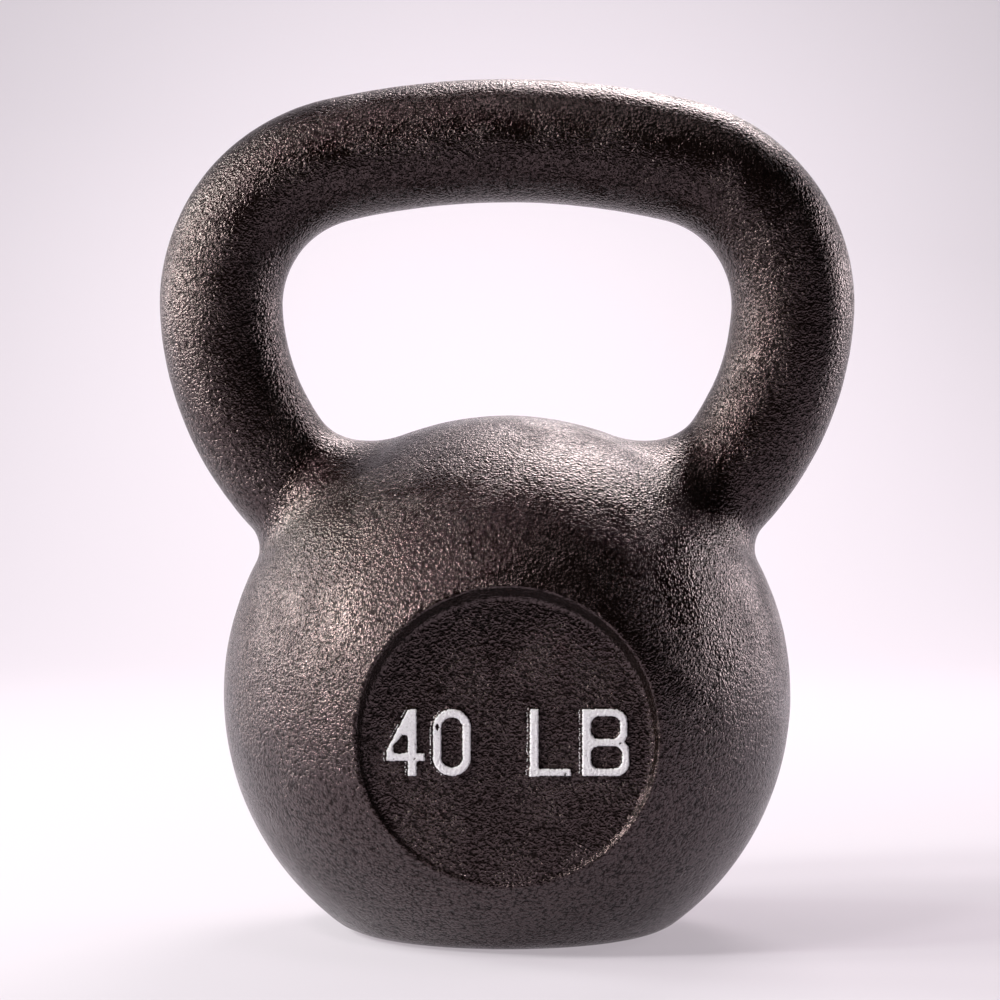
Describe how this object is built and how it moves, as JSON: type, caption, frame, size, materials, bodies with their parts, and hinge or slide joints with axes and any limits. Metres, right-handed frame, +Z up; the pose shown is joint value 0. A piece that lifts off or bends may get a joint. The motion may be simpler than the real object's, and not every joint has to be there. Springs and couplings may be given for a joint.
{
  "type": "kettlebell",
  "caption": "Cast-iron kettlebell: a solid ball with a flat base and a dished face carries a round bar handle; the face has a raised weight mark with white paint.",
  "frame": {"origin": "centre of the flat base, on the surface that the kettlebell stands on", "axes": "+Z up, +X along the grip towards the right-hand horn as seen from the front, -Y out of the dished face, which is the front"},
  "size_m": [0.2, 0.1556, 0.245],
  "materials": {
    "enamelled_iron": "satin",
    "white_paint": "satin"
  },
  "bodies": {
    "root": {"ball": "enamelled_iron", "handle": "enamelled_iron", "paint_four": "white_paint", "paint_zero": "white_paint", "paint_l": "white_paint", "paint_b": "white_paint"}
  },
  "joints": []
}
